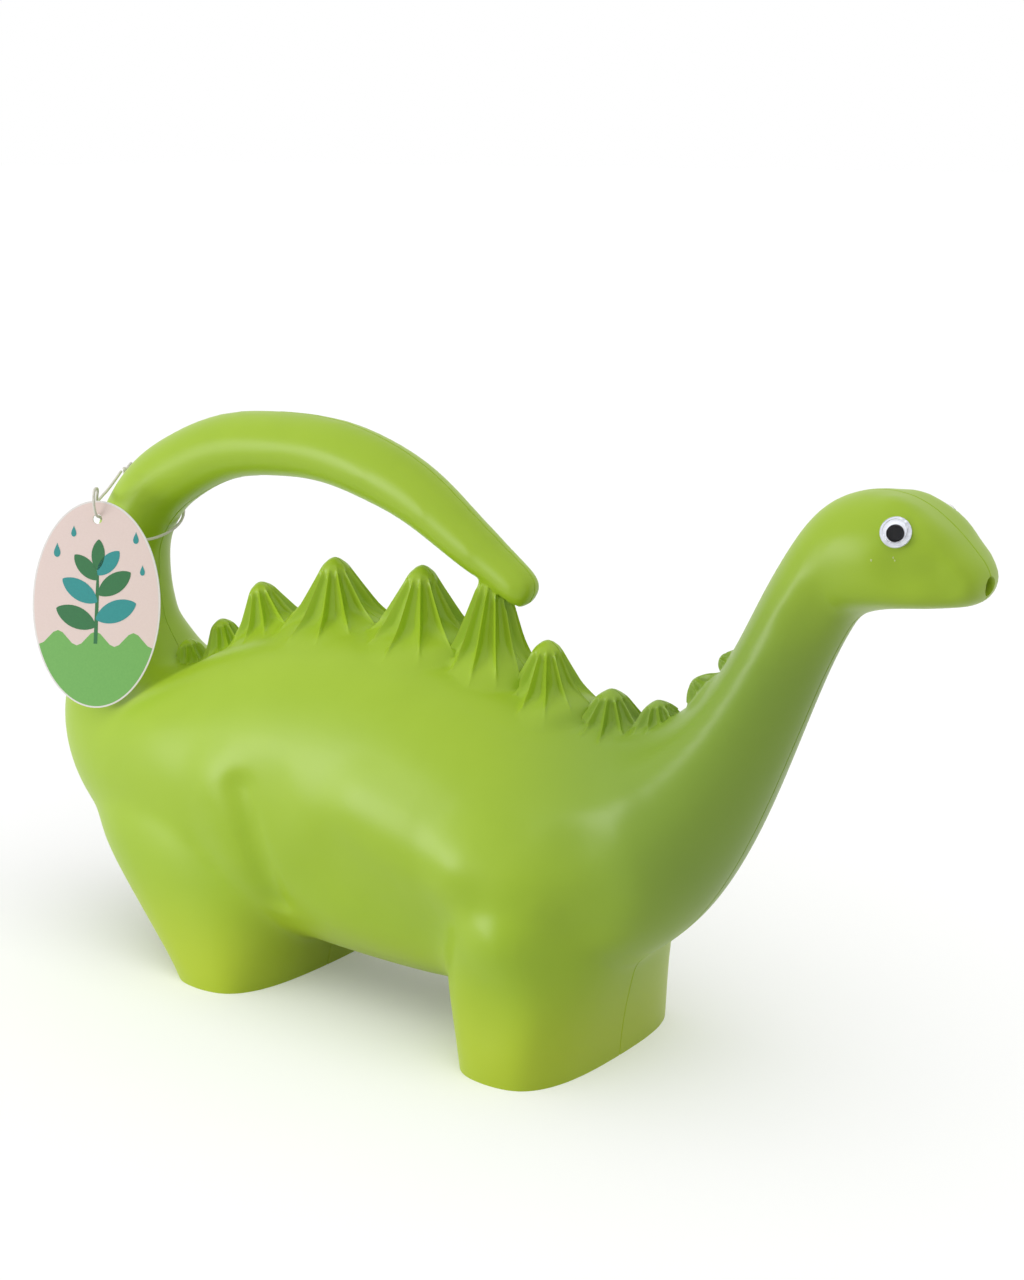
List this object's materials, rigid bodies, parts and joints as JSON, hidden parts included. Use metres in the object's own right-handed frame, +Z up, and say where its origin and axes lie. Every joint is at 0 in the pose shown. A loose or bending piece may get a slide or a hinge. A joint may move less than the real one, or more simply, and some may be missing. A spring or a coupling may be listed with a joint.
{
  "type": "watering can",
  "caption": "Moulded plastic watering can in the form of a long-necked dinosaur: hollow body, pouring snout, tail bent over the back as a handle, wobble eyes and a card tag on a string.",
  "frame": {"origin": "on the floor, under the middle of the can's length and width", "axes": "+X towards the snout, +Y to the can's left, +Z up"},
  "size_m": [0.4183, 0.1084, 0.2292],
  "materials": {
    "green_plastic": "satin moulded",
    "dried_glue": "cloudy",
    "white_plastic": "gloss",
    "black_plastic": "gloss",
    "clear_plastic": "clear",
    "printed_card": "smooth card",
    "white_string": "twisted cotton"
  },
  "bodies": {
    "can": {"right_shell": "green_plastic", "left_shell": "green_plastic", "right_eye_glue": "dried_glue", "left_eye_glue": "dried_glue", "right_eye_back": "white_plastic", "left_eye_back": "white_plastic", "right_eye_cover": "clear_plastic", "left_eye_cover": "clear_plastic", "tag_cord": "white_string", "cord_knot": "white_string"},
    "right_pupil": {"right_pupil": "black_plastic"},
    "left_pupil": {"left_pupil": "black_plastic"},
    "tag": {"swing_tag": "printed_card"}
  },
  "joints": [
    {"name": "tag_swing", "type": "hinge", "parent": "can", "child": "tag", "pos_m": [-0.1642, -0.034, 0.1826], "axis": [0.4471, -0.8775, 0.1736], "range_deg": [-60, 3]},
    {"name": "right_pupil_roll", "type": "hinge", "parent": "can", "child": "right_pupil", "pos_m": [0.18354, -0.01701, 0.21397], "axis": [0.2373, -0.8736, 0.4248], "continuous": true},
    {"name": "left_pupil_roll", "type": "hinge", "parent": "can", "child": "left_pupil", "pos_m": [0.18354, 0.01701, 0.21397], "axis": [0.2373, 0.8736, 0.4248], "continuous": true}
  ]
}
